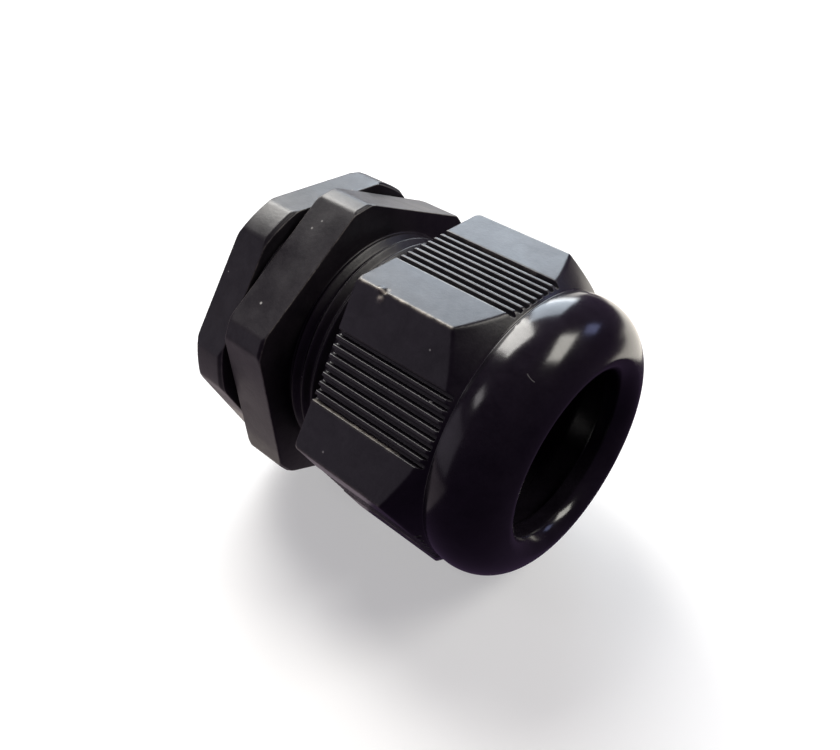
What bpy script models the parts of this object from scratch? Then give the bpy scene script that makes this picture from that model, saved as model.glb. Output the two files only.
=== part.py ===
"""Black nylon cable gland, PG21 size, with the dome nut part way down its thread.

Every piece is drawn in the gland frame: Z along the axis towards the dome, zero
on the body flange's face away from the dome, lengths in millimetres. FRAME lays
gland Z along world +X and gland X along world -Z, and puts MID_LENGTH, the
middle of the gland's length, at the world origin. MM turns millimetres into metres.
"""

import math

import bmesh
import bpy
from mathutils import Matrix, Vector

MM = 0.001
MID_LENGTH = 13.7
FRAME = Matrix.Rotation(math.radians(90.0), 4, "Y") @ Matrix.Translation((0.0, 0.0, -MID_LENGTH * MM))

# Segments in a full turn
ROUND_STEPS = 64
RING_STEPS = 48
THREAD_STEPS = 32

# Threads: sixteen turns to the inch, 80 degree included angle, right handed
PITCH = 25.4 / 16.0
FLANK = math.tan(math.radians(40.0))
MALE_CREST_R = 14.15
MALE_ROOT_R = 13.39
MALE_CREST_HALF = 0.08
FEMALE_MINOR_R = 13.60
FEMALE_MAJOR_R = 14.35
FEMALE_CREST_HALF = 0.064

# Flared mouths of the threaded holes
HOLE_R = FEMALE_MINOR_R - 0.6
HOLE_MOUTH_R = FEMALE_MINOR_R + 1.6
HOLE_MOUTH_DEPTH = 1.6

# Spare length of helper shapes past the faces they cut
HEX_SPARE = 0.5
ROD_SPARE = 0.2
HOLE_SPARE = 0.6
BODY_BORE_SPARE = 1.0

# Body
ENTRY_END = -8.0
FLANGE_TOP = 5.9
CLAMP_END = 17.5
BODY_AF = 33.4
BODY_CORNER_R = 18.72
BODY_FACE_R = 18.35
BODY_CHAMFER = 0.35
BODY_CLOCK = 2.4
THREAD_CLEAR_R = 14.45
THREAD_END_R = 13.15
THREAD_CHAMFER = 0.9
BODY_BORE_R = 9.6
ENTRY_FLARE = 2.0
SOCKET_R = 12.1
SOCKET_FLOOR = 15.2
SOCKET_FLARE = 1.4
SOCKET_FLARE_DEPTH = 0.4

# Dome nut: heights other than NUT_REAR are counted from its rear face
NUT_REAR = 12.66
NUT_AF = 33.0
NUT_CLOCK = 27.1
NUT_BAR_TOP = 24.0
NUT_CORNER_R = 19.10
NUT_CHAMFER = 0.35
NUT_SHOULDER = 12.35
NUT_RELIEF = 9.40
NUT_RELIEF_R = 14.6
NUT_STEP = 11.6
NUT_CONE_R = 12.70
NUT_CONE_SLOPE = 0.2474
NUT_LIP_STEP = 19.4
NUT_LIP_OVERLAP = 0.2
MOUTH_R = 9.6
DOME_RING_R = 10.75
DOME_RING_Z = 17.2
DOME_SECTION_R = 5.6
DOME_REAR_ANGLE = -18.75
LIP_R = 11.6
LIP_Z = 20.6

# Ribs and grooves on each flat of the dome nut; depths are below the flat
RIB_ZONE_HALF = 3.9
RIB_COUNT = 7
RIB_WIDTH = 0.50
RIB_TOP_DEPTH = 0.08
GROOVE_DEPTH = 0.62
GROOVE_END = 15.1
RIB_SIDE_LEAN = 0.07
COMB_SPARE = 1.5

# Locknut: its front faces the dome
LOCK_FRONT = -1.0
LOCK_REAR = -5.55
LOCK_AF = 33.0
LOCK_CORNER_R = 17.93
LOCK_CLOCK = 22.9
LOCK_CHAMFER_R = 0.45
LOCK_CHAMFER_Z = 0.4

# Gasket: its top faces the flange
GASKET_TOP = -0.25
GASKET_BOTTOM = -0.75
GASKET_OUT_R = 16.2
GASKET_IN_R = 14.5
GASKET_CHAMFER = 0.12

# Claw ring and fingers
RING_TOP = 18.6
RING_BOTTOM = 15.5
RING_IN_R = 10.6
RING_RIM_R = 12.9
RING_RIM_BOTTOM = 17.8
RING_SOCKET_GAP = 0.3
FINGER_COUNT = 14
FINGER_ANGLE = 20.0
FINGER_STEPS = 5
FINGER_LEN = 7.2
FINGER_ROOT_OUT_R = 12.45
FINGER_ROOT_IN_R = 10.95
FINGER_TIP_OUT_R = 12.10
FINGER_TIP_IN_R = 10.70
HINGE_R = (FINGER_ROOT_OUT_R + FINGER_ROOT_IN_R) / 2.0
HINGE_Z = 18.9

# Sealing grommet section (radius, height): down the outer side, then up the bore
GROMMET_SECTION = [
    (9.9, 25.6), (10.3, 25.0), (10.0, 22.6), (10.3, 20.2), (10.3, 15.9), (10.0, 15.5),
    (9.4, 15.5), (9.1, 17.0), (8.95, 20.6), (9.5, 25.6),
]


def clear_scene():
    for obj in list(bpy.data.objects):
        bpy.data.objects.remove(obj, do_unlink=True)
    for mesh in list(bpy.data.meshes):
        bpy.data.meshes.remove(mesh)


def collection(name):
    found = bpy.data.collections.new(name)
    bpy.context.scene.collection.children.link(found)
    return found


def material(name, colour, rough):
    mat = bpy.data.materials.new(name)
    mat.use_nodes = True
    shader = mat.node_tree.nodes["Principled BSDF"]
    shader.inputs["Base Color"].default_value = (*colour, 1.0)
    shader.inputs["Roughness"].default_value = rough
    mat.diffuse_color = (*colour, 1.0)
    return mat


def place(name, mesh, where, matrix=Matrix.Identity(4)):
    """Link a mesh drawn in the gland frame; matrix moves it within that frame."""
    obj = bpy.data.objects.new(name, mesh)
    where.objects.link(obj)
    obj.matrix_world = FRAME @ matrix
    if where is CUTTERS:
        obj.hide_render = True
        obj.display_type = "WIRE"
    return obj


def outline_mesh(name, points, closed):
    """Edges through (radius, height) points, drawn in the XZ plane."""
    verts = [(radius * MM, 0.0, height * MM) for radius, height in points]
    edges = [(i, i + 1) for i in range(len(verts) - 1)]
    if closed:
        edges.append((len(verts) - 1, 0))
    mesh = bpy.data.meshes.new(name)
    mesh.from_pydata(verts, edges, [])
    return mesh


def add_screw(obj, label, steps, angle=math.tau):
    screw = obj.modifiers.new(label, "SCREW")
    screw.axis = "Z"
    screw.angle = angle
    screw.steps = steps
    screw.render_steps = steps
    screw.use_smooth_shade = False
    return screw


def add_boolean(obj, other, operation, label):
    boolean = obj.modifiers.new(label, "BOOLEAN")
    boolean.operation = operation
    boolean.solver = "EXACT"
    boolean.object = other


def turned(name, points, where, closed=True, steps=ROUND_STEPS):
    """A turned shape: points are (radius, height), down the outer side first."""
    obj = place(name, outline_mesh(name, points, closed), where)
    screw = add_screw(obj, "turn", steps)
    screw.use_merge_vertices = True
    screw.merge_threshold = 0.01 * MM
    return obj


def cutter(name, points, steps=ROUND_STEPS):
    """A turned helper whose open outline starts and ends on the axis."""
    return turned(name, points, CUTTERS, closed=False, steps=steps)


def baked_screw(name, points, closed, steps, angle=math.tau, rise=0.0, iterations=1):
    """Sweep an outline round Z; return its mesh and an editable copy, seams merged."""
    source = bpy.data.objects.new(name + "_section", outline_mesh(name, points, closed))
    bpy.context.scene.collection.objects.link(source)
    screw = add_screw(source, "sweep", steps, angle)
    screw.screw_offset = rise
    screw.iterations = iterations
    bpy.context.view_layer.update()
    graph = bpy.context.evaluated_depsgraph_get()
    mesh = bpy.data.meshes.new_from_object(source.evaluated_get(graph))
    bpy.data.objects.remove(source, do_unlink=True)
    mesh.name = name
    work = bmesh.new()
    work.from_mesh(mesh)
    bmesh.ops.remove_doubles(work, verts=work.verts, dist=0.001 * MM)
    return mesh, work


def finish_solid(work, mesh):
    """Turn the faces outwards and write the edited solid to its mesh."""
    bmesh.ops.recalc_face_normals(work, faces=work.faces)
    work.to_mesh(mesh)
    work.free()


def hex_bar(name, across, low, high, clock):
    """A hexagonal bar whose corners stand at clock degrees from the X side."""
    work = bmesh.new()
    turn = Matrix.Rotation(math.radians(clock - 30.0), 4, "Z")
    lift = Matrix.Translation((0.0, 0.0, (low + high) / 2.0 * MM))
    radius = across / math.sqrt(3.0) * MM
    bmesh.ops.create_cone(
        work, cap_ends=True, segments=6, radius1=radius, radius2=radius,
        depth=(high - low) * MM, matrix=lift @ turn,
    )
    mesh = bpy.data.meshes.new(name)
    work.to_mesh(mesh)
    work.free()
    return place(name, mesh, PARTS)


def threaded_rod(name, first, last, crest_r, crest_half, root_r):
    """A threaded rod on the shared helix, from the first to the last of its pitch lines."""
    half = crest_half + (crest_r - root_r) * FLANK
    start = first * PITCH
    middle = start + PITCH / 2.0
    section = [
        (root_r, start), (root_r, middle - half), (crest_r, middle - crest_half),
        (crest_r, middle + crest_half), (root_r, middle + half), (root_r, start + PITCH),
    ]
    mesh, work = baked_screw(
        name, section, closed=False, steps=THREAD_STEPS,
        rise=PITCH * MM, iterations=last - first - 1,
    )
    # Each open end is closed by a fan of triangles to a point on the axis.
    open_edges = [edge for edge in work.edges if edge.is_boundary]
    mean = (first + last) / 2.0 * PITCH * MM
    for line, upper in ((first, False), (last, True)):
        tip = work.verts.new((0.0, 0.0, line * PITCH * MM))
        for edge in open_edges:
            if (edge.verts[0].co.z > mean) == upper:
                work.faces.new((edge.verts[0], edge.verts[1], tip))
    finish_solid(work, mesh)
    return place(name, mesh, CUTTERS)


def female_rod(name, first, last):
    return threaded_rod(name, first, last, FEMALE_MAJOR_R, FEMALE_CREST_HALF, FEMALE_MINOR_R)


def line_below(height):
    """Number of a pitch line at least one pitch below a height."""
    return math.floor(height / PITCH) - 1


def line_above(height):
    """Number of a pitch line at least one pitch above a height."""
    return math.ceil(height / PITCH) + 1


def arc(centre_r, centre_z, radius_r, radius_z, first, last, count):
    """Points on an arc, with the angle in degrees measured from the outward radius."""
    points = []
    for i in range(count + 1):
        angle = math.radians(first + (last - first) * i / count)
        points.append((
            centre_r + radius_r * math.cos(angle),
            centre_z + radius_z * math.sin(angle),
        ))
    return points


def build_body():
    """Hexagonal flange with a threaded length on each side, bored through."""
    body = hex_bar("gland_body", BODY_AF, -HEX_SPARE, FLANGE_TOP + HEX_SPARE, BODY_CLOCK)
    rod = threaded_rod(
        "body_threaded_rod", line_below(ENTRY_END - ROD_SPARE), line_above(CLAMP_END + ROD_SPARE),
        MALE_CREST_R, MALE_CREST_HALF, MALE_ROOT_R,
    )
    add_boolean(body, rod, "UNION", "threaded rod")
    envelope = cutter("body_envelope", [
        (0.0, CLAMP_END),
        (THREAD_END_R, CLAMP_END),
        (THREAD_CLEAR_R, CLAMP_END - THREAD_CHAMFER),
        (THREAD_CLEAR_R, FLANGE_TOP),
        (BODY_FACE_R, FLANGE_TOP),
        (BODY_CORNER_R, FLANGE_TOP - BODY_CHAMFER),
        (BODY_CORNER_R, BODY_CHAMFER),
        (BODY_FACE_R, 0.0),
        (THREAD_CLEAR_R, 0.0),
        (THREAD_CLEAR_R, ENTRY_END + THREAD_CHAMFER),
        (THREAD_END_R, ENTRY_END),
        (0.0, ENTRY_END),
    ])
    add_boolean(body, envelope, "INTERSECT", "envelope")
    top = CLAMP_END + BODY_BORE_SPARE
    bore = cutter("body_bore", [
        (0.0, top),
        (SOCKET_R + SOCKET_FLARE, top),
        (SOCKET_R, CLAMP_END - SOCKET_FLARE_DEPTH),
        (SOCKET_R, SOCKET_FLOOR),
        (BODY_BORE_R, SOCKET_FLOOR),
        (BODY_BORE_R, ENTRY_END + BODY_BORE_SPARE),
        (BODY_BORE_R + ENTRY_FLARE, ENTRY_END - BODY_BORE_SPARE),
        (0.0, ENTRY_END - BODY_BORE_SPARE),
    ], steps=THREAD_STEPS)
    add_boolean(body, bore, "DIFFERENCE", "bore")
    return body


def comb_mesh(name, side):
    """Grooves of one flat: a comb section run along the axis."""
    flat = NUT_AF / 2.0
    rib_top = flat - RIB_TOP_DEPTH
    floor = flat - GROOVE_DEPTH
    groove = (2.0 * RIB_ZONE_HALF - RIB_COUNT * RIB_WIDTH) / (RIB_COUNT + 1)
    lean = RIB_SIDE_LEAN
    # (distance from the axis, place across the flat)
    section = [(flat + COMB_SPARE, -RIB_ZONE_HALF), (floor, -RIB_ZONE_HALF + lean)]
    at = -RIB_ZONE_HALF + groove
    for _ in range(RIB_COUNT):
        section += [
            (floor, at - lean), (rib_top, at + lean),
            (rib_top, at + RIB_WIDTH - lean), (floor, at + RIB_WIDTH + lean),
        ]
        at += RIB_WIDTH + groove
    section += [(floor, RIB_ZONE_HALF - lean), (flat + COMB_SPARE, RIB_ZONE_HALF)]

    turn = Matrix.Rotation(math.radians(NUT_CLOCK + 30.0 + 60.0 * side), 4, "Z")
    low = NUT_REAR - HOLE_SPARE
    rise = Vector((0.0, 0.0, (NUT_REAR + GROOVE_END - low) * MM))
    work = bmesh.new()
    ring = [
        work.verts.new(turn @ Vector((out * MM, across * MM, low * MM)))
        for out, across in section
    ]
    grown = bmesh.ops.extrude_face_region(work, geom=[work.faces.new(ring)])
    tops = [item for item in grown["geom"] if isinstance(item, bmesh.types.BMVert)]
    bmesh.ops.translate(work, verts=tops, vec=rise)
    mesh = bpy.data.meshes.new(name)
    finish_solid(work, mesh)
    return mesh


def nut_outer():
    """Dome nut outline (radius, height): mouth, lip, dome, shoulder, rear face."""
    dome_front = math.degrees(math.acos((LIP_R - DOME_RING_R) / DOME_SECTION_R))
    dome = arc(
        DOME_RING_R, DOME_RING_Z, DOME_SECTION_R, DOME_SECTION_R,
        dome_front, DOME_REAR_ANGLE, 8,
    )
    top = dome[0][1]
    # The lip's last point is the dome's first.
    lip = arc(LIP_R, LIP_Z, LIP_R - MOUTH_R, top - LIP_Z, 180.0, 90.0, 5)[:-1]
    plug = NUT_LIP_STEP - NUT_LIP_OVERLAP
    return [(0.0, plug), (MOUTH_R, plug)] + lip + dome + [
        (NUT_CORNER_R, NUT_SHOULDER), (NUT_CORNER_R, NUT_CHAMFER),
        (NUT_CORNER_R - NUT_CHAMFER, 0.0), (0.0, 0.0),
    ]


def nut_inside():
    """Dome nut bore (radius, height): cone, relief, thread hole, rear mouth."""
    cone_end = NUT_CONE_R - (NUT_LIP_STEP - NUT_STEP) * NUT_CONE_SLOPE
    return [
        (0.0, NUT_LIP_STEP), (cone_end, NUT_LIP_STEP),
        (NUT_CONE_R, NUT_STEP), (NUT_RELIEF_R, NUT_STEP),
        (NUT_RELIEF_R, NUT_RELIEF), (HOLE_R, NUT_RELIEF),
        (HOLE_R, HOLE_MOUTH_DEPTH), (HOLE_MOUTH_R, -HOLE_SPARE), (0.0, -HOLE_SPARE),
    ]


def from_nut_rear(points):
    return [(radius, height + NUT_REAR) for radius, height in points]


def build_dome_nut():
    nut = hex_bar("dome_nut", NUT_AF, NUT_REAR - HEX_SPARE, NUT_REAR + NUT_BAR_TOP, NUT_CLOCK)
    envelope = cutter("nut_envelope", from_nut_rear(nut_outer()))
    add_boolean(nut, envelope, "INTERSECT", "envelope")
    bore = cutter("nut_bore", from_nut_rear(nut_inside()), steps=THREAD_STEPS)
    add_boolean(nut, bore, "DIFFERENCE", "bore")
    last = math.floor((NUT_REAR + NUT_STEP) / PITCH)
    rod = female_rod("nut_threaded_rod", line_below(NUT_REAR - ROD_SPARE), last)
    add_boolean(nut, rod, "DIFFERENCE", "thread")
    for side in range(6):
        name = "nut_comb_%d" % (side + 1)
        comb = place(name, comb_mesh(name, side), CUTTERS)
        add_boolean(nut, comb, "DIFFERENCE", "grooves %d" % (side + 1))
    return nut


def build_locknut():
    nut = hex_bar("locknut", LOCK_AF, LOCK_REAR - HEX_SPARE, LOCK_FRONT + HEX_SPARE, LOCK_CLOCK)
    face_r = LOCK_CORNER_R - LOCK_CHAMFER_R
    envelope = cutter("locknut_envelope", [
        (0.0, LOCK_FRONT), (face_r, LOCK_FRONT),
        (LOCK_CORNER_R, LOCK_FRONT - LOCK_CHAMFER_Z),
        (LOCK_CORNER_R, LOCK_REAR + LOCK_CHAMFER_Z),
        (face_r, LOCK_REAR), (0.0, LOCK_REAR),
    ])
    add_boolean(nut, envelope, "INTERSECT", "envelope")
    mouths = cutter("locknut_mouths", [
        (0.0, LOCK_FRONT + HOLE_SPARE), (HOLE_MOUTH_R, LOCK_FRONT + HOLE_SPARE),
        (HOLE_R, LOCK_FRONT - HOLE_MOUTH_DEPTH), (HOLE_R, LOCK_REAR + HOLE_MOUTH_DEPTH),
        (HOLE_MOUTH_R, LOCK_REAR - HOLE_SPARE), (0.0, LOCK_REAR - HOLE_SPARE),
    ], steps=THREAD_STEPS)
    add_boolean(nut, mouths, "DIFFERENCE", "mouths")
    rod = female_rod(
        "locknut_threaded_rod",
        line_below(LOCK_REAR - ROD_SPARE), line_above(LOCK_FRONT + ROD_SPARE),
    )
    add_boolean(nut, rod, "DIFFERENCE", "thread")
    return nut


def build_gasket():
    """Flat ring with its outer edge chamfered on the flange side."""
    section = [
        (GASKET_OUT_R - GASKET_CHAMFER, GASKET_TOP), (GASKET_OUT_R, GASKET_TOP - GASKET_CHAMFER),
        (GASKET_OUT_R, GASKET_BOTTOM), (GASKET_IN_R, GASKET_BOTTOM), (GASKET_IN_R, GASKET_TOP),
    ]
    return turned("flange_gasket", section, PARTS, steps=RING_STEPS)


def build_claw_ring():
    """Ring in the body socket, with a wider rim above the body's end."""
    skirt_r = SOCKET_R - RING_SOCKET_GAP
    section = [
        (RING_RIM_R - 0.2, RING_TOP), (RING_RIM_R, RING_TOP - 0.2),
        (RING_RIM_R, RING_RIM_BOTTOM), (skirt_r, RING_RIM_BOTTOM),
        (skirt_r, RING_BOTTOM + 0.4), (skirt_r - 0.3, RING_BOTTOM),
        (RING_IN_R, RING_BOTTOM), (RING_IN_R, RING_TOP),
    ]
    return turned("claw_ring", section, PARTS, steps=RING_STEPS)


def build_finger(index):
    """One finger just above the claw ring, with its origin at the middle of its root."""
    # (radius, height above the root), with both tip edges chamfered
    section = [
        (FINGER_TIP_OUT_R - 0.45, FINGER_LEN), (FINGER_TIP_OUT_R, FINGER_LEN - 0.7),
        (FINGER_ROOT_OUT_R, 0.0), (FINGER_ROOT_IN_R, 0.0),
        (FINGER_TIP_IN_R, FINGER_LEN - 0.6), (FINGER_TIP_IN_R + 0.25, FINGER_LEN),
    ]
    name = "claw_finger_%02d" % (index + 1)
    mesh, work = baked_screw(
        name, section, closed=True, steps=FINGER_STEPS, angle=math.radians(FINGER_ANGLE),
    )
    # Flat caps close the two sides.
    bmesh.ops.holes_fill(work, edges=[e for e in work.edges if e.is_boundary], sides=0)
    finish_solid(work, mesh)
    centring = Matrix.Rotation(math.radians(-FINGER_ANGLE / 2.0), 4, "Z")
    mesh.transform(Matrix.Translation((-HINGE_R * MM, 0.0, 0.0)) @ centring)
    turn = Matrix.Rotation(math.tau * index / FINGER_COUNT, 4, "Z")
    hinge = Matrix.Translation((HINGE_R * MM, 0.0, HINGE_Z * MM))
    return place(name, mesh, PARTS, turn @ hinge)


def build_grommet():
    return turned("sealing_grommet", GROMMET_SECTION, PARTS, steps=RING_STEPS)


clear_scene()
PARTS = collection("cable_gland")
CUTTERS = collection("cable_gland_cutters")

NYLON = material("black nylon", colour=(0.020, 0.020, 0.022), rough=0.42)
NYLON_NUT = material("black nylon, nut", colour=(0.026, 0.026, 0.029), rough=0.36)
NYLON_LOCK = material("black nylon, locknut", colour=(0.032, 0.032, 0.034), rough=0.45)
NYLON_CLAW = material("black nylon, claw", colour=(0.040, 0.040, 0.043), rough=0.40)
RUBBER = material("black rubber", colour=(0.014, 0.014, 0.014), rough=0.75)
RUBBER_FLAT = material("grey rubber, gasket", colour=(0.050, 0.050, 0.052), rough=0.80)

build_body().data.materials.append(NYLON)
build_dome_nut().data.materials.append(NYLON_NUT)
build_locknut().data.materials.append(NYLON_LOCK)
build_gasket().data.materials.append(RUBBER_FLAT)
build_claw_ring().data.materials.append(NYLON_CLAW)
for finger_index in range(FINGER_COUNT):
    build_finger(finger_index).data.materials.append(NYLON_CLAW)
build_grommet().data.materials.append(RUBBER)
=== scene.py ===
"""A black nylon cable gland: dome nut, threaded body with a hexagonal flange, locknut, gasket,
claw and seal, on a pale floor with soft light from behind.

The gland lies on its side with its axis along X. Its front, the domed mouth, faces +X, and the
locknut is at the rear. Round the axis, angle 0 points down (-Z) and 90 degrees points to +Y.
"""

import math

import bmesh
import bpy
import numpy as np
from mathutils import Matrix, Vector


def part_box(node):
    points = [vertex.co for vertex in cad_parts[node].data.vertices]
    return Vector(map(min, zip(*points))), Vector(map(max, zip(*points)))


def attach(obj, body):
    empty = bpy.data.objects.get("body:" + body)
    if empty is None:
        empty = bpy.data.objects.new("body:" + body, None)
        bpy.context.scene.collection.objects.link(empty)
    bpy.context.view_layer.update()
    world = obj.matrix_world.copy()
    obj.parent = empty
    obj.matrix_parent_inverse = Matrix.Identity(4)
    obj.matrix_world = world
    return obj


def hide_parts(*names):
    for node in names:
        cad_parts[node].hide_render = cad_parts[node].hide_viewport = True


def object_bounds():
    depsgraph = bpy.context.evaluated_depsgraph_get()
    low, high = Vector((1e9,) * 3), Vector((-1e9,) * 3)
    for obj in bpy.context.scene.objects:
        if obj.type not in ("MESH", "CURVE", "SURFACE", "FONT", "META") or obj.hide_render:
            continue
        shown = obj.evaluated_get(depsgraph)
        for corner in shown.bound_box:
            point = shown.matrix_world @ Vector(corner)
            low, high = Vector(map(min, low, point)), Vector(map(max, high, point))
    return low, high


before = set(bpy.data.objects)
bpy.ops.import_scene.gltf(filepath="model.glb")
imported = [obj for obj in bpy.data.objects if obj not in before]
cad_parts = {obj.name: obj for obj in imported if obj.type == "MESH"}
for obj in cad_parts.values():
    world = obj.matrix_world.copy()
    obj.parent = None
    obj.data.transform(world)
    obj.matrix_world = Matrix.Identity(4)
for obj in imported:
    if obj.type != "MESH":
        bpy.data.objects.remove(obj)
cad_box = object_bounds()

# Lengths are in millimetres unless a name or comment says otherwise.
MM = 0.001
TAU = math.tau

# Heights run along the axis from the flange's seating face, positive towards the front.
TAIL_END = -8.0
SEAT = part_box("gland_body")[0][0] / MM - TAIL_END
NUT_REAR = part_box("dome_nut")[0][0] / MM - SEAT
LOCK_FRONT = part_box("locknut")[1][0] / MM - SEAT
LOCK_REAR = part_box("locknut")[0][0] / MM - SEAT

# Threads
PITCH = 25.4 / 16.0
FLANK = math.tan(math.radians(40.0))
FEMALE_MOUTH_R = 14.66  # where a female thread meets the face around it
FEMALE_LEAD_R = 14.6  # its 45 degree lead-in, at the face

bpy.context.scene.view_settings.view_transform = "Standard"
bpy.context.scene.view_settings.look = "None"


# ---------------------------------------------------------------- shape tools

def soft_min(a, b, width):
    """The smaller of two lengths, rounded where they cross."""
    gap = np.clip(width - np.abs(a - b), 0.0, None)
    return np.minimum(a, b) - gap * gap / (4.0 * width)


def soft_max(a, b, width):
    return -soft_min(-a, -b, width)


def bell(distance, width):
    return np.exp(-((distance / width) ** 2))


def thread(theta, z, crest_r, crest_half, root_r, soft):
    """Radius of the shared right-hand helix at an angle and a height."""
    along = z - PITCH * theta / TAU
    along = np.abs(np.mod(along, PITCH) - PITCH / 2.0)
    ridge = crest_r - (along - crest_half) / FLANK
    return soft_max(soft_min(ridge, crest_r, soft), root_r, soft)


def male(theta, z):
    return thread(theta, z, crest_r=14.15, crest_half=0.08, root_r=13.39, soft=0.10)


def female(theta, z):
    return thread(theta, z, crest_r=14.35, crest_half=0.064, root_r=13.60, soft=0.06)


class Rows:
    """The rows of a grid round a body's section, each with one value per column."""

    def __init__(self, theta):
        self.theta = theta
        self.rows = []

    def add(self, radius, z, scuff_and_highlight=0.0, theta=None):
        theta = self.theta if theta is None else theta
        values = (theta, radius, z, scuff_and_highlight)
        self.rows.append([np.broadcast_to(value, self.theta.shape) for value in values])

    def add_points(self, points):
        for radius, z in points:
            self.add(radius, z)

    def add_face(self, start_r, end_r, z, parts):
        """Flat face: rows at the given parts of the way between two radii."""
        for part in parts:
            self.add(start_r + (end_r - start_r) * part, z)

    def grids(self):
        """Angle, radius, height and the pale edge mark (scuffs and painted highlights), each as
        rows by columns.
        """
        return np.stack(self.rows, axis=1)


def even_normals(obj):
    even = obj.modifiers.new("even normals", "WEIGHTED_NORMAL")
    even.keep_sharp = True


def ring_object(name, theta, radius, height, mat, body, node, layers=None):
    """A closed body from a grid that wraps both ways: rows round its section, columns round
    its axis. Layers are point attributes by name."""
    radius, theta, height = np.broadcast_arrays(radius, theta, height)
    down = radius * np.cos(theta)
    y = radius * np.sin(theta)
    verts = np.stack([height + SEAT, y, -down], axis=-1).reshape(-1, 3) * MM
    index = np.arange(radius.size).reshape(radius.shape)
    below = np.roll(index, -1, 0)
    quads = np.stack([index, below, np.roll(below, -1, 1), np.roll(index, -1, 1)], axis=-1)
    quads = quads.reshape(-1, 4)
    # the sign of the enclosed volume shows whether the faces point inwards
    one, two, three, four = (verts[quads[:, i]] for i in range(4))
    volume = np.einsum("ij,ij->i", one, np.cross(two, three)).sum()
    volume += np.einsum("ij,ij->i", one, np.cross(three, four)).sum()
    if volume < 0.0:
        quads = quads[:, ::-1]
    mesh = bpy.data.meshes.new(name)
    mesh.vertices.add(len(verts))
    mesh.vertices.foreach_set("co", verts.astype(np.float32).ravel())
    mesh.loops.add(quads.size)
    mesh.loops.foreach_set("vertex_index", quads.astype(np.int32).ravel())
    mesh.polygons.add(len(quads))
    mesh.polygons.foreach_set("loop_start", np.arange(0, quads.size, 4, dtype=np.int32))
    mesh.update(calc_edges=True)
    mesh.polygons.foreach_set("use_smooth", np.ones(len(quads), dtype=bool))
    for label, values in (layers or {}).items():
        layer = mesh.attributes.new(label, "FLOAT", "POINT")
        values = np.broadcast_to(values, radius.shape).astype(np.float32)
        layer.data.foreach_set("value", values.ravel())
    mesh.validate()
    mesh.materials.append(mat)
    obj = bpy.data.objects.new(name, mesh)
    bpy.context.scene.collection.objects.link(obj)
    even_normals(obj)
    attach(obj, body)
    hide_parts(node)
    return obj


def rounded(corners, steps=4):
    """A closed outline with rounded corners, each given as (radius, height, rounding)."""
    path = []
    points = [Vector(corner[:2]) for corner in corners]
    for i, here in enumerate(points):
        before = points[i - 1] - here
        after = points[(i + 1) % len(points)] - here
        cut = min(corners[i][2], before.length * 0.45, after.length * 0.45)
        start = here + before.normalized() * cut
        end = here + after.normalized() * cut
        for k in range(steps + 1):
            t = k / steps
            path.append(tuple(start * (1 - t) ** 2 + here * 2 * t * (1 - t) + end * t * t))
    return path


def turned_object(name, corners, mat, body, node, columns=192, row_gap=0.5):
    """A round body turned from an outline, with rows added along its longer sides."""
    path = rounded(corners)
    full = []
    for i, here in enumerate(path):
        there = path[(i + 1) % len(path)]
        count = max(1, int(math.dist(here, there) / row_gap))
        for k in range(count):
            t = k / count
            full.append([start + (end - start) * t for start, end in zip(here, there)])
    radius, height = np.array(full).T[:, :, None]
    theta = np.linspace(0.0, TAU, columns, endpoint=False)[None, :]
    ring_object(name, theta, radius, height, mat, body, node)


# ---------------------------------------------------------------- hexagons

def hex_half(across):
    """Half the width of one flat."""
    return across / 2.0 * math.tan(math.radians(30.0))


def hex_columns(clock, offsets):
    """Direction of the flat and offset across it, for every column. The corners stand at
    clock + 60 k degrees."""
    side = np.repeat(np.arange(6), len(offsets))
    return np.radians(clock + 30.0 + 60.0 * side), np.tile(offsets, 6)


def hex_polar(across, normal, offset, soft, depth=0.0):
    """Angle and radius of each column on the flats, sunk by depth, with soft corners."""
    flat = across / 2.0 - depth
    lean = np.arctan2(offset, flat)
    own = np.hypot(offset, flat)
    other = (across / 2.0) / np.cos(math.radians(60.0) - np.abs(lean))
    return normal + lean, soft_min(own, other, soft)


def spread(half, cut):
    """Offsets across one flat, dense around +-cut, where the turned corners begin."""
    at = list(np.linspace(-half, half, max(3, int(2 * half / 0.5)) + 1))
    for turn in (-cut, cut):
        at += [turn + d for d in (-0.3, -0.18, -0.1, -0.05, 0.0, 0.05, 0.1, 0.18, 0.3)]
    at = np.unique(np.round([a for a in at if -half <= a < half - 1e-6], 4))
    keep = [at[0]]
    for a in at[1:]:
        if a - keep[-1] > 0.035:
            keep.append(a)
    return np.array(keep)


def hex_block(across, clock, corner_r, face_r, front, rear):
    """Column angles of a hexagon with corners turned to corner_r, and a function for its
    radius at a height. 45 degree chamfers narrow it to face_r at both faces."""
    cut = math.sqrt(corner_r ** 2 - (across / 2.0) ** 2)
    normal, offset = hex_columns(clock, spread(hex_half(across), cut))
    theta, sharp = hex_polar(across, normal, offset, soft=0.2)

    def side(z):
        ends = min(corner_r, face_r + (front - z), face_r + (z - rear))
        return soft_min(sharp, ends, 0.16)

    return theta, side


EDGE_ROUND = 0.12


def add_edge(rows, side_r, face_z, inward, scuff_and_highlight):
    """Quarter round between a face and the sides. Inward is -1 at the front and 1 at the rear."""
    for i in range(5):
        angle = math.radians(90.0 * i / 4)
        across, along = 1.0 - math.sin(angle), 1.0 - math.cos(angle)
        if inward > 0:
            across, along = along, across
        rows.add(side_r - EDGE_ROUND * across, face_z + inward * EDGE_ROUND * along,
                 math.sin(2 * angle) * scuff_and_highlight)


# ---------------------------------------------------------------- materials

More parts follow.
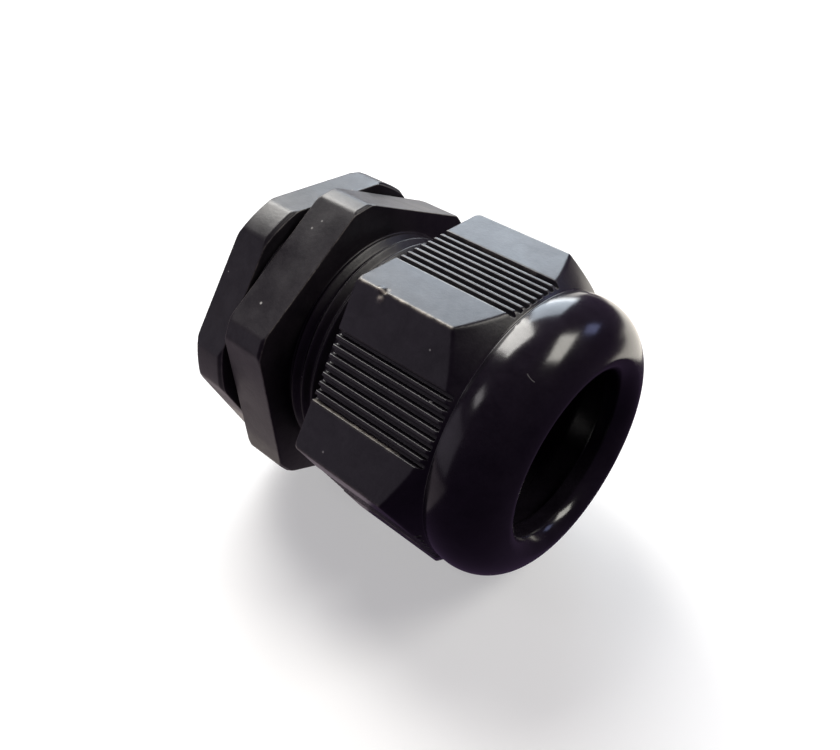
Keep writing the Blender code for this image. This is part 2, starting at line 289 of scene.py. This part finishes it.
class Tree:
    """Short ways to add shader nodes to a material or a world."""

    def __init__(self, owner):
        owner.use_nodes = True
        self.nodes, self.links = owner.node_tree.nodes, owner.node_tree.links

    def feed(self, node, values):
        """Set or link inputs, by name or number. Colours may leave out alpha."""
        for key, value in values.items():
            socket = node.inputs[key]
            if isinstance(value, bpy.types.NodeSocket):
                self.links.new(value, socket)
            elif socket.type == "RGBA" and len(value) == 3:
                socket.default_value = (*value, 1.0)
            else:
                socket.default_value = value

    def add(self, kind, values=None, **settings):
        node = self.nodes.new(kind)
        for key, value in settings.items():
            setattr(node, key, value)
        self.feed(node, values or {})
        return node

    def noise(self, where, scale, detail, roughness=0.5, distortion=0.0, stretch=None):
        noise = self.add("ShaderNodeTexNoise", {
            "Scale": scale, "Detail": detail, "Roughness": roughness, "Distortion": distortion})
        if stretch:
            tilt = self.add("ShaderNodeMapping", {"Scale": stretch, "Vector": where})
            where = tilt.outputs["Vector"]
        self.feed(noise, {"Vector": where})
        return noise.outputs["Fac"]

    def ranged(self, value, source, target):
        """Map the source range onto the target range."""
        return self.add("ShaderNodeMapRange", {
            "From Min": source[0], "From Max": source[1],
            "To Min": target[0], "To Max": target[1], "Value": value}).outputs["Result"]

    def maths(self, kind, a, b):
        return self.add("ShaderNodeMath", {0: a, 1: b}, operation=kind).outputs["Value"]

    def mixed(self, factor, a, b):
        values = {"Factor": factor, 6: a, 7: b}
        return self.add("ShaderNodeMix", values, data_type="RGBA").outputs[2]

    def attribute(self, name):
        return self.add("ShaderNodeAttribute", attribute_name=name).outputs["Fac"]


# pale colour of edge scuffs, and of the painted highlights along lit edges
SCUFF_AND_HIGHLIGHT_COLOUR = (0.62, 0.57, 0.48)
DUST_COLOUR = (0.42, 0.42, 0.40)
NICK_COLOUR = (0.50, 0.50, 0.47)


def nylon(name, dark, pale, rough, rough_spread, grain, grain_scale, scuff_and_highlight, dust,
          specular=0.5, nicks=()):
    """Moulded black nylon: satin grain, faint flow marks, scuffed edges with painted edge
    highlights, and specks of dust.

    One point attribute paints pale scuffs and painted highlights on edges, polish makes the
    surface glossier and calm flattens its bumps. Dust is the share of cells that hold a speck."""
    mat = bpy.data.materials.new(name)
    tree = Tree(mat)
    noise, ranged, maths, mixed = tree.noise, tree.ranged, tree.maths, tree.mixed
    shader = tree.nodes["Principled BSDF"]
    tree.feed(shader, {"IOR": 1.5})
    where = tree.add("ShaderNodeTexCoord").outputs["Object"]

    # base tone: clouds with some fine grain
    cloud = noise(where, scale=260.0, detail=4.0, roughness=0.6, distortion=0.4)
    fine = noise(where, scale=grain_scale, detail=5.0, roughness=0.62)
    flow = noise(where, scale=90.0, detail=3.0, stretch=(0.35, 1.0, 1.0))
    tone = maths("ADD", maths("MULTIPLY", cloud, 0.6), maths("MULTIPLY", fine, 0.4))
    tone = ranged(tone, source=(0.36, 0.64), target=(0.0, 1.0))
    colour = mixed(tone, dark, pale)

    # scuffs and painted edge highlights, in one pale colour, broken up by noise
    edge = tree.attribute("scuff_and_highlight")
    scuff_and_highlight_noise = noise(where, scale=700.0, detail=4.0, roughness=0.7)
    patchy = ranged(scuff_and_highlight_noise, source=(0.38, 0.62), target=(0.15, 1.0))
    scuff_and_highlight_amount = maths("MULTIPLY", maths("MULTIPLY", edge, patchy), scuff_and_highlight)
    colour = mixed(scuff_and_highlight_amount, colour, SCUFF_AND_HIGHLIGHT_COLOUR)

    # dust: a few random cells hold a dot of random size, 0.025 to 0.07 of a cell
    cells = tree.add("ShaderNodeTexVoronoi", {"Scale": 330.0, "Randomness": 1.0, "Vector": where})
    split = tree.add("ShaderNodeSeparateColor", {"Color": cells.outputs["Color"]})
    rare = maths("GREATER_THAN", split.outputs[0], 1.0 - dust)
    dot_size = maths("ADD", 0.025, maths("MULTIPLY", split.outputs[1], 0.045))
    small = maths("LESS_THAN", cells.outputs["Distance"], dot_size)
    speck = maths("MULTIPLY", rare, small)
    colour = mixed(maths("MULTIPLY", speck, 0.75), colour, DUST_COLOUR)

    for x, y, z, reach, strength in nicks:
        gap = tree.add("ShaderNodeVectorMath", {0: where, 1: (x * MM, y * MM, z * MM)},
                       operation="DISTANCE")
        spot = ranged(gap.outputs["Value"], source=(reach * 0.5 * MM, reach * MM),
                      target=(strength, 0.0))
        colour = mixed(spot, colour, NICK_COLOUR)
    tree.feed(shader, {"Base Color": colour})

    # roughness: full polish halves it, dust and the pale edge marks (scuffs and painted
    # highlights) add to it
    streaks = maths("ADD", maths("MULTIPLY", cloud, 0.5), maths("MULTIPLY", flow, 0.5))
    gloss = ranged(streaks, source=(0.35, 0.65),
                   target=(rough - rough_spread, rough + rough_spread))
    polish = tree.attribute("polish")
    gloss = maths("MULTIPLY", gloss, maths("SUBTRACT", 1.0, maths("MULTIPLY", polish, 0.5)))
    # specular level: blotchy, raised towards 0.5 where polished
    blotch = noise(where, scale=520.0, detail=3.0, roughness=0.55, distortion=0.6)
    level = maths("ADD", maths("MULTIPLY", polish, 0.5 - specular),
                  ranged(blotch, source=(0.3, 0.7), target=(specular * 0.86, specular * 1.14)))
    tree.feed(shader, {"Specular IOR Level": level})
    gloss = maths("ADD", gloss, maths("MULTIPLY", speck, 0.4))
    gloss = maths("ADD", gloss, maths("MULTIPLY", scuff_and_highlight_amount, 0.15))
    tree.feed(shader, {"Roughness": gloss})

    # broad flow marks under fine grain; bump distances are in metres
    rest = maths("SUBTRACT", 1.0, tree.attribute("calm"))
    broad = tree.add("ShaderNodeBump")
    tree.feed(broad, {
        "Strength": maths("MULTIPLY", rest, 0.5), "Distance": 0.00012,
        "Height": maths("ADD", flow, maths("MULTIPLY", cloud, 0.25))})
    fine_bump = tree.add("ShaderNodeBump")
    tree.feed(fine_bump, {
        "Strength": maths("MULTIPLY", rest, grain), "Distance": 0.00003,
        "Height": maths("ADD", fine, maths("MULTIPLY", speck, 2.0)),
        "Normal": broad.outputs["Normal"]})
    tree.feed(shader, {"Normal": fine_bump.outputs["Normal"]})
    return mat


def rubber(name, colour, rough):
    """Matt rubber with one fine noise in its tone, roughness and bumps."""
    mat = bpy.data.materials.new(name)
    tree = Tree(mat)
    shader = tree.nodes["Principled BSDF"]
    tree.feed(shader, {"Sheen Weight": 0.15})
    where = tree.add("ShaderNodeTexCoord").outputs["Object"]
    grain = tree.noise(where, scale=1500.0, detail=5.0)
    ramp = tree.add("ShaderNodeValToRGB", {"Fac": grain})
    for stop, gain in zip(ramp.color_ramp.elements, (0.7, 1.4)):
        stop.color = (*(c * gain for c in colour), 1.0)
    roughness = tree.ranged(grain, source=(0.0, 1.0), target=(rough - 0.1, rough + 0.1))
    bump = tree.add("ShaderNodeBump", {"Strength": 0.5, "Distance": 0.00004, "Height": grain})
    tree.feed(shader, {"Base Color": ramp.outputs["Color"], "Roughness": roughness,
                       "Normal": bump.outputs["Normal"]})
    return mat


# small pale specks: x, y, z, reach, strength
NUT_NICKS = [(2.75, -18.26, 2.15, 0.16, 0.55), (10.01, -10.22, 14.58, 0.14, 0.45)]
BODY_NICKS = [
    (-11.24, -13.31, 11.33, 0.19, 0.80),
    (-11.71, -4.99, 16.61, 0.17, 0.45),
    (-11.15, -3.98, 17.25, 0.15, 0.40),
]
# a short, slightly bowed scratch on the dome, as a chain of specks
for k in range(1, 11):
    t = k / 10
    bow = 0.10 * math.sin(math.pi * t)
    NUT_NICKS.append((18.54 + 0.86 * t, -6.61 - bow, 14.37 - 0.56 * t, 0.07, 0.24))

NUT_NYLON = nylon(
    "nylon_dome_nut", dark=(0.0065, 0.0049, 0.0079), pale=(0.0142, 0.0113, 0.0167),
    rough=0.34, rough_spread=0.06, grain=0.40, grain_scale=2600.0, scuff_and_highlight=0.9, dust=0.10,
    specular=0.44, nicks=NUT_NICKS)
BODY_NYLON = nylon(
    "nylon_body", dark=(0.008, 0.0062, 0.009), pale=(0.018, 0.0145, 0.018),
    rough=0.40, rough_spread=0.07, grain=0.55, grain_scale=2200.0, scuff_and_highlight=0.22, dust=0.12,
    specular=0.46, nicks=BODY_NICKS)
LOCK_NYLON = nylon(
    "nylon_locknut", dark=(0.009, 0.0075, 0.010), pale=(0.019, 0.017, 0.020),
    rough=0.40, rough_spread=0.07, grain=0.55, grain_scale=2200.0, scuff_and_highlight=0.22, dust=0.10)
CLAW_NYLON = nylon(
    "nylon_claw", dark=(0.016, 0.015, 0.017), pale=(0.032, 0.030, 0.033),
    rough=0.40, rough_spread=0.05, grain=0.4, grain_scale=2400.0, scuff_and_highlight=0.0, dust=0.0)
SEAL_RUBBER = rubber("rubber_seal", colour=(0.012, 0.012, 0.012), rough=0.72)
GASKET_RUBBER = rubber("rubber_gasket", colour=(0.045, 0.045, 0.047), rough=0.78)


# ---------------------------------------------------------------- dome nut

# Heights in this section run from the nut's rear face.
NUT_AF, NUT_CLOCK, NUT_SOFT = 33.0, 27.1, 0.22  # across flats, degrees, corner softness
NUT_RIM = 0.16  # rounding of the rear edge
NUT_REAR_R = 18.72  # 45 degree chamfer's radius at the rear face
CONE_R, CONE_Z = 19.10, 12.35  # a point on the front corner chamfer's 45 degree cone
# ribbed recess in the middle of each flat; RIB_TOP and GROOVE_FLOOR are depths
RIB_HALF, RIB_COUNT, RIB_WIDTH = 3.9, 7, 0.50
RIB_TOP, GROOVE_FLOOR, RIB_END = 0.08, 0.62, 15.1
WALL_EASE, END_EASE = 0.12, 0.12  # half the width of a rib's wall and of the recess's end
# the dome is part of a torus, with a rolled lip round the mouth and a valley behind it
RING_R, RING_Z, SECTION_R = 10.75, 17.2, 5.6
VALLEY_Z = 15.4
MOUTH_R, LIP_WIDTH, LIP_Z = 9.6, 2.0, 20.6
# bore: the wall tapers from the shoulder to the front
SHOULDER_Z, TAPER_R, TAPER = 11.6, 12.70, 0.2474
# radius, height
MOUTH_WALL = [(9.72, 19.4), (9.63, 19.43), (9.6, 19.55), (9.6, 19.9), (9.6, 20.3)]
THREAD_RELIEF = [
    (14.5, 9.4), (14.6, 9.46), (14.6, 10.5), (14.6, 11.54),
    (14.54, 11.6), (13.6, 11.6), (12.78, 11.6), (12.69, 11.68),
]
BORE_FRONT = [(10.80, 19.34), (10.72, 19.4), (10.2, 19.4)]
# position across a wall and part of its depth reached
WALL_CURVE = ((-1.0, 0.0), (-0.6, 0.06), (-0.25, 0.26), (0.1, 0.60), (0.5, 0.92), (1.0, 1.0))


def rib_walls():
    """Offset of each wall in the recess, with the depth before and after it."""
    groove = (2.0 * RIB_HALF - RIB_COUNT * RIB_WIDTH) / (RIB_COUNT + 1)
    walls = [(-RIB_HALF, 0.0, GROOVE_FLOOR)]
    at = -RIB_HALF + groove
    for _ in range(RIB_COUNT):
        walls.append((at, GROOVE_FLOOR, RIB_TOP))
        walls.append((at + RIB_WIDTH, RIB_TOP, GROOVE_FLOOR))
        at += RIB_WIDTH + groove
    walls.append((RIB_HALF, GROOVE_FLOOR, 0.0))
    return walls


def rib_profile():
    """Depth across one flat at the offsets where it changes."""
    at, deep = [-20.0], [0.0]
    for wall, before, after in rib_walls():
        falling = after > before
        reach = WALL_EASE if falling else -WALL_EASE
        shallow, deeper = min(before, after), max(before, after)
        for across, part in WALL_CURVE if falling else WALL_CURVE[::-1]:
            at.append(wall + across * reach)
            deep.append(shallow + (deeper - shallow) * part)
    return np.array(at + [20.0]), np.array(deep + [0.0])


def nut_columns():
    """Direction of the flat, offset across it and recess depth, for every column."""
    rib_at, rib_deep = rib_profile()
    half = hex_half(NUT_AF)
    turns = rib_at[1:-1]
    middles = [(a + b) / 2.0 for a, b in zip(turns[:-1], turns[1:]) if b - a > 0.15]
    plain = np.arange(RIB_HALF + 0.35, half - 1.3, 0.42)
    corner = [half - d for d in (1.15, 1.0, 0.85, 0.7, 0.5, 0.34, 0.22, 0.14, 0.08, 0.03)]
    sides = np.concatenate([plain, corner])
    offsets = np.concatenate([[-half], turns, middles, sides, -sides])
    normal, offset = hex_columns(NUT_CLOCK, np.unique(np.round(offsets, 4)))
    return normal, offset, np.interp(offset, rib_at, rib_deep)


def neck(z):
    """The back of the dome's ring above the valley, the corner chamfer's cone below it."""
    back = 0.0
    if z > RING_Z - 4.0:
        back = RING_R + math.sqrt(SECTION_R ** 2 - (RING_Z - z) ** 2)
    return soft_max(back, CONE_R + CONE_Z - z, 0.14)


def nut_heights():
    """Heights of the rows from the valley to the rear edge, front first."""
    heights = [VALLEY_Z + d for d in (0.16, 0.11, 0.06, 0.02, -0.02, -0.06, -0.11, -0.16)]
    heights += [RIB_END + d for d in (0.12, 0.08, 0.04, 0.0, -0.04, -0.08, -0.12)]
    heights += [*np.arange(RIB_END - 0.22, 12.0, -0.11), 11.8, 11.5, 11.0]
    heights += [*np.arange(10.0, 4.9, -1.0), *np.arange(4.8, 2.3, -0.12)]
    heights += [2.0, 1.5, 1.0, 0.6, 0.45, 0.32, 0.22]
    return sorted(set(heights), reverse=True)


def add_dome(rows):
    """Mouth, rolled lip and dome."""
    first = math.acos((MOUTH_R + LIP_WIDTH - RING_R) / SECTION_R)
    last = -math.asin((RING_Z - VALLEY_Z - 0.22) / SECTION_R)
    lip_height = RING_Z + SECTION_R * math.sin(first) - LIP_Z
    rows.add_points(MOUTH_WALL)
    for i in range(12):
        angle = math.radians(180.0 - 90.0 * i / 12)
        rows.add(MOUTH_R + LIP_WIDTH + LIP_WIDTH * math.cos(angle),
                 LIP_Z + lip_height * math.sin(angle))
    for i in range(57):
        angle = first + (last - first) * i / 56.0
        rows.add(RING_R + SECTION_R * math.cos(angle), RING_Z + SECTION_R * math.sin(angle))


def add_nut_sides(rows, normal, offset, depth):
    """Valley, corner chamfers and ribbed flats, then the rear edge and face."""
    def outside(z):
        fade = np.clip((RIB_END + END_EASE - z) / (2.0 * END_EASE), 0.0, 1.0)
        fade = fade * fade * (3.0 - 2.0 * fade)
        theta, radius = hex_polar(NUT_AF, normal, offset, NUT_SOFT, depth * fade)
        radius = soft_min(radius, neck(z), 0.20)
        return theta, soft_min(radius, NUT_REAR_R + z, 0.2)

    for z in nut_heights():
        theta, radius = outside(z)
        rows.add(radius, z, theta=theta)
    theta, limit = outside(NUT_RIM)
    for i in range(1, 5):
        angle = math.radians(90.0 * i / 4)
        rows.add(limit - NUT_RIM * (1.0 - math.cos(angle)),
                 NUT_RIM * (1.0 - math.sin(angle)), theta=theta)
    start = limit - NUT_RIM
    for part in (0.12, 0.35, 0.6, 0.85, 1.0):
        rows.add(start + (FEMALE_MOUTH_R - start) * part, 0.0,
                 theta=theta + (rows.theta - theta) * part)


def add_nut_bore(rows):
    """Lead-in, thread, relief, shoulder and tapered wall, from the rear to the front."""
    theta = rows.theta
    rows.add(14.56, 0.03)
    for z in np.arange(0.1, 9.3, 0.12):
        rows.add(soft_max(female(theta, z + NUT_REAR), FEMALE_LEAD_R - z, 0.1), z)
    rows.add(female(theta, 9.36 + NUT_REAR), 9.36)
    rows.add_points(THREAD_RELIEF)
    for z in np.arange(12.2, 19.3, 0.6):
        rows.add(TAPER_R - (z - SHOULDER_Z) * TAPER, z)
    rows.add_points(BORE_FRONT)


def build_nut():
    normal, offset, depth = nut_columns()
    rows = Rows(hex_polar(NUT_AF, normal, offset, NUT_SOFT)[0])
    add_dome(rows)
    add_nut_sides(rows, normal, offset, depth)
    add_nut_bore(rows)
    theta, radius, z, _ = rows.grids()

    def from_corner(degrees):
        """Signed arc length from a corner, at a radius of 19 mm."""
        return np.angle(np.exp(1j * (theta - math.radians(degrees)))) * 19.0

    # all corners are painted pale, faintly, and the one that faces up and towards -Y strongly: a
    # painted highlight along that lit corner
    outer = (radius > 17.6) & (z > 0.2)
    plain_part = np.clip((12.5 - z) / 0.4, 0.0, 1.0) * outer
    along = from_corner(NUT_CLOCK + 180.0)
    scuff_and_highlight = bell(along, 0.15) * plain_part * (0.75 + 0.25 * np.sin(z * 2.3))
    for k in range(6):
        corner = from_corner(NUT_CLOCK + 60.0 * k)
        scuff_and_highlight = np.maximum(scuff_and_highlight, 0.25 * bell(corner, 0.14) * plain_part)
    # one burr on that corner: a bump, a dent in front of it and a curl beside them
    flash = bell(along, 0.34) * (0.20 * bell(z - 3.1, 0.38) - 0.26 * bell(z - 3.75, 0.26))
    curl = bell(along - 0.75, 0.26) * bell(z - 3.6, 0.30)
    radius = radius + (flash + 0.16 * curl) * outer
    # the curl is painted pale too, like the highlight painted along the corner
    scuff_and_highlight = np.maximum(scuff_and_highlight, 0.8 * curl * outer)
    # faint painted highlight along the edges of the ribbed recess, stronger on one side
    away = np.abs(offset) - (RIB_HALF + 0.03)
    strength = np.where(offset < 0.0, 0.16, 0.45)
    strip = bell(away, 0.07) * np.clip((12.3 - z) / 0.3, 0.0, 1.0) * (z > 0.1) * (radius > 15.5)
    scuff_and_highlight = np.maximum(scuff_and_highlight, strength * strip)
    # the dome is polished; the dome and the ribs have flatter bumps
    polish = np.clip((z - VALLEY_Z + 0.3) / 0.5, 0.0, 1.0) * (radius > MOUTH_R - 0.2)
    ribbed = np.clip((RIB_HALF + 0.1 - np.abs(offset)) / 0.1, 0.0, 1.0)
    ribbed = ribbed * (z < VALLEY_Z) * (radius > 15.0)
    calm = np.maximum(0.75 * polish, 0.9 * ribbed)
    return ring_object("dome_nut_moulding", theta, radius, z + NUT_REAR, NUT_NYLON,
                       "dome_nut", "dome_nut",
                       {"scuff_and_highlight": scuff_and_highlight, "polish": polish, "calm": calm})


# ---------------------------------------------------------------- body

FLANGE_FRONT = 5.9
TUBE_END = 17.5
THREAD_TIP_R, THREAD_TIP_SLOPE = 13.2, 1.35  # cone that trims the thread at both ends
# radius, height
TUBE_RIM = [
    (12.1, 15.4), (12.1, 16.2), (12.1, 17.0), (12.2, 17.24), (12.44, 17.46),
    (12.6, 17.5), (12.95, 17.5),
]
# radius beyond the thread's, height
FLANGE_FILLET = [(0.0, 6.08), (0.05, 5.98), (0.16, 5.91), (0.32, FLANGE_FRONT)]
# radius, height: the rear end, the bore and the step inside the front rim
BODY_BORE = [
    (12.95, -8.0), (12.0, -8.0), (10.75, -8.0), (10.5, -7.92), (9.7, -7.12), (9.6, -6.95),
    (9.6, -5.0), (9.6, -2.0), (9.6, 1.0), (9.6, 4.0), (9.6, 7.0), (9.6, 10.0), (9.6, 13.0),
    (9.6, 15.1), (9.66, 15.2), (10.8, 15.2), (12.04, 15.2), (12.1, 15.26),
]


def build_body():
    theta, side = hex_block(across=33.4, clock=2.4, corner_r=18.72, face_r=18.40,
                            front=FLANGE_FRONT, rear=0.0)
    rows = Rows(theta)

    def add_thread(start, stop, tip):
        for z in np.arange(start, stop, -0.1):
            ends = THREAD_TIP_R + abs(tip - z) * THREAD_TIP_SLOPE
            rows.add(soft_min(male(theta, z), ends, 0.12), z)

    rows.add_points(TUBE_RIM)
    add_thread(17.47, 6.15, tip=TUBE_END)
    root = male(theta, 6.1)
    rows.add_points((root + extra, z) for extra, z in FLANGE_FILLET)
    edge = side(FLANGE_FRONT - EDGE_ROUND)
    rows.add_face(root + FLANGE_FILLET[-1][0], edge - EDGE_ROUND, FLANGE_FRONT,
                  (0.2, 0.4, 0.6, 0.8, 0.92))
    add_edge(rows, edge, FLANGE_FRONT, inward=-1, scuff_and_highlight=0.9)
    for z in (5.7, 5.55, 5.45, 5.3, 4.6, 3.8, 3.0, 2.2, 1.4, 0.7, 0.45, 0.35, 0.2):
        rows.add(side(z), z)
    edge = side(EDGE_ROUND)
    add_edge(rows, edge, 0.0, inward=1, scuff_and_highlight=0.9)
    root = male(theta, -0.2)
    rows.add_face(edge - EDGE_ROUND, root + 0.2, 0.0, (0.1, 0.35, 0.65, 0.9, 1.0))
    rows.add(root + 0.06, -0.06)
    add_thread(-0.2, -7.95, tip=TAIL_END)
    rows.add_points(BODY_BORE)
    theta, radius, z, scuff_and_highlight = rows.grids()
    ring_object("gland_body_moulding", theta, radius, z, BODY_NYLON,
                "body", "gland_body", {"scuff_and_highlight": scuff_and_highlight})


# ---------------------------------------------------------------- locknut

def build_locknut():
    front, rear = LOCK_FRONT, LOCK_REAR
    theta, side = hex_block(across=33.0, clock=22.9, corner_r=17.93, face_r=17.52,
                            front=front, rear=rear)
    rows = Rows(theta)
    edge = side(front - EDGE_ROUND)
    rows.add_face(FEMALE_MOUTH_R, edge - EDGE_ROUND, front, (0.0, 0.3, 0.6, 0.85))
    add_edge(rows, edge, front, inward=-1, scuff_and_highlight=0.8)
    near = (0.2, 0.35, 0.45)
    for z in [*(front - d for d in near), *np.linspace(front - 0.6, rear + 0.6, 6),
              *(rear + d for d in near[::-1])]:
        rows.add(side(z), z)
    edge = side(rear + EDGE_ROUND)
    add_edge(rows, edge, rear, inward=1, scuff_and_highlight=0.8)
    rows.add_face(edge - EDGE_ROUND, FEMALE_MOUTH_R, rear, (0.15, 0.4, 0.7, 1.0))
    for z in np.arange(rear + 0.05, front - 0.04, 0.1):
        lead = max(FEMALE_LEAD_R - (z - rear), FEMALE_LEAD_R - (front - z))
        rows.add(soft_max(female(theta, z), lead, 0.1), z)
    theta, radius, z, scuff_and_highlight = rows.grids()
    ring_object("locknut_moulding", theta, radius, z, LOCK_NYLON,
                "locknut", "locknut", {"scuff_and_highlight": scuff_and_highlight})


nut = build_nut()
build_body()
build_locknut()


# ---------------------------------------------------------------- gasket, claw and seal

# outlines: radius, height, corner rounding
GASKET = [(16.2, -0.25, 0.12), (16.2, -0.75, 0.12), (14.5, -0.75, 0.06), (14.5, -0.25, 0.06)]
CLAW_ROOT = [
    (12.9, 18.6, 0.25), (12.9, 17.8, 0.1), (11.8, 17.8, 0.1),
    (11.8, 15.5, 0.3), (10.6, 15.5, 0.2), (10.6, 18.6, 0.15),
]
SEAL = [
    (9.32, 25.6, 0.12), (9.42, 24.6, 0.4), (9.85, 22.6, 0.8), (10.3, 20.2, 0.8),
    (10.3, 15.9, 0.2), (10.0, 15.5, 0.2), (9.4, 15.5, 0.2), (9.1, 17.0, 0.5),
    (8.95, 20.6, 1.0), (8.93, 25.6, 0.12),
]
turned_object("flange_gasket_ring", GASKET, GASKET_RUBBER,
              "gasket", "flange_gasket")
turned_object("claw_root_ring", CLAW_ROOT, CLAW_NYLON, "claw", "claw_ring")
turned_object("sealing_sleeve", SEAL, SEAL_RUBBER, "claw", "sealing_grommet")

# the claw's fingers keep their CAD shape, with softened edges
for name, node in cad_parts.items():
    if not name.startswith("claw_finger"):
        continue
    node.data.materials.clear()
    node.data.materials.append(CLAW_NYLON)
    soft = node.modifiers.new("edges", "BEVEL")
    soft.width = 0.14 * MM
    soft.segments = 2
    soft.limit_method = "ANGLE"
    soft.angle_limit = math.radians(35.0)
    for face in node.data.polygons:
        face.use_smooth = True
    even_normals(node)


# ---------------------------------------------------------------- floor and world

# From here on, lengths are in metres.
floor_z = cad_box[0][2]


def build_floor():
    """Pale floor that only the camera sees, glowing brighter away from the gland."""
    mesh = bpy.data.meshes.new("floor")
    work = bmesh.new()
    bmesh.ops.create_grid(work, x_segments=1, y_segments=1, size=1.5)
    work.to_mesh(mesh)
    work.free()
    floor = bpy.data.objects.new("floor", mesh)
    floor.location = (0.0, 0.0, floor_z - 0.0001)
    bpy.context.scene.collection.objects.link(floor)
    paper = bpy.data.materials.new("pale_floor")
    tree = Tree(paper)
    reach = tree.add("ShaderNodeVectorMath", operation="LENGTH")
    spot = tree.add("ShaderNodeNewGeometry")
    tree.feed(reach, {0: spot.outputs["Position"]})
    glow = tree.ranged(reach.outputs["Value"], source=(0.12, 0.60), target=(0.42, 1.05))
    tree.feed(tree.nodes["Principled BSDF"], {
        "Base Color": (0.60, 0.60, 0.60), "Emission Color": (1.0, 1.0, 1.0),
        "Emission Strength": glow, "Roughness": 0.9})
    mesh.materials.append(paper)
    floor.visible_glossy = False
    floor.visible_diffuse = False
    floor.visible_shadow = False


def build_world():
    """White to the camera, a dim violet to everything else."""
    world = bpy.data.worlds.new("studio")
    bpy.context.scene.world = world
    tree = Tree(world)
    ray = tree.add("ShaderNodeLightPath")
    colour = tree.mixed(ray.outputs["Is Camera Ray"], (0.056, 0.036, 0.072), (1.0, 1.0, 1.0))
    tree.feed(tree.nodes["Background"], {"Color": colour})


build_floor()
build_world()


# ---------------------------------------------------------------- lights

def area_light(name, width, height, radiance, colour):
    """A rectangular light, with its brightness given as radiance."""
    lamp = bpy.data.lights.new(name, "AREA")
    lamp.shape = "RECTANGLE"
    lamp.size, lamp.size_y = width, height
    lamp.energy = radiance * math.pi * width * height
    lamp.color = colour
    obj = bpy.data.objects.new(name, lamp)
    bpy.context.scene.collection.objects.link(obj)
    return obj


AIM = Vector((0.004, 0.0, 0.0))
SOFTBOX_DISTANCE = 0.6
# name, azimuth from +X and elevation in degrees, width, height, radiance, colour
SOFTBOXES = [
    ("sky_window", 122.5, 28.0, 0.29, 0.32, 5.3, (0.84, 0.95, 1.06)),
    ("warm_window", 156.0, 45.5, 0.27, 0.54, 11.9, (1.0, 0.985, 0.94)),
    ("low_window", 119.0, 12.5, 0.18, 0.09, 5.2, (0.98, 1.0, 1.0)),
    ("low_band", 121.0, -4.0, 0.16, 0.19, 1.5, (1.0, 0.97, 0.90)),
    ("side_back", 42.0, 46.0, 0.26, 0.20, 9.0, (1.0, 0.98, 0.90)),
    ("blue_window", 64.0, 22.0, 0.11, 0.13, 1.6, (0.74, 0.84, 1.5)),
    ("small_left", -126.0, 46.0, 0.15, 0.10, 3.2, (1.0, 0.96, 0.98)),
    ("fill_left", -128.0, 8.0, 0.44, 0.36, 0.45, (0.95, 0.88, 1.0)),
]
for name, azimuth, elevation, width, height, radiance, colour in SOFTBOXES:
    turn, rise = math.radians(azimuth), math.radians(elevation)
    way = Vector((math.cos(turn) * math.cos(rise), math.sin(turn) * math.cos(rise),
                  math.sin(rise)))
    box = area_light(name, width, height, radiance, colour)
    box.location = AIM + way * SOFTBOX_DISTANCE
    box.rotation_euler = way.to_track_quat("Z", "Y").to_euler()

# Lit patches of floor, facing up, as the glossy sides of the gland see them:
# name, x, y, width, depth, radiance, colour, the only object lit (None for all)
FLOOR_GLOWS = [
    ("glow_behind", 0.017, 0.097, 0.070, 0.094, 1.8, (1.0, 0.95, 0.84), nut),
    ("glow_far", 0.0, 0.160, 0.160, 0.060, 0.5, (1.0, 0.95, 0.86), None),
    ("glow_left", -0.047, -0.035, 0.092, 0.110, 0.34, (1.0, 0.86, 0.90), None),
    ("glow_under", -0.025, -0.014, 0.024, 0.030, 0.55, (1.0, 0.92, 0.76), None),
]
for name, x, y, width, depth, radiance, colour, only in FLOOR_GLOWS:
    glow = area_light(name, width, depth, radiance, colour)
    glow.location = (x, y, floor_z + 0.0004)
    glow.rotation_euler = (math.pi, 0.0, 0.0)
    glow.visible_camera = False
    if only is not None:
        group = bpy.data.collections.new(name + "_lights")
        group.objects.link(only)
        glow.light_linking.receiver_collection = group


# ---------------------------------------------------------------- camera

# the camera's axes in the scene, and its place
RIGHT = Vector((0.74136806, 0.67109865, 0.0))
UP = Vector((-0.4368715, 0.48261546, 0.75909526))
LOOK = Vector((-0.5094278, 0.56276898, -0.65097956))
EYE = Vector((0.06398 + SEAT * MM, -0.05609, 0.06386))

camera_data = bpy.data.cameras.new("camera")
camera_data.lens = 36.144
camera_data.sensor_width = 36.0
camera_data.sensor_fit = "HORIZONTAL"
camera_data.clip_start = 0.001
camera_data.clip_end = 10.0
camera = bpy.data.objects.new("camera", camera_data)
pose = Matrix((RIGHT, UP, -LOOK)).transposed().to_4x4()
pose.translation = EYE
camera.matrix_world = pose
bpy.context.scene.collection.objects.link(camera)
bpy.context.scene.camera = camera

bpy.context.view_layer.update()
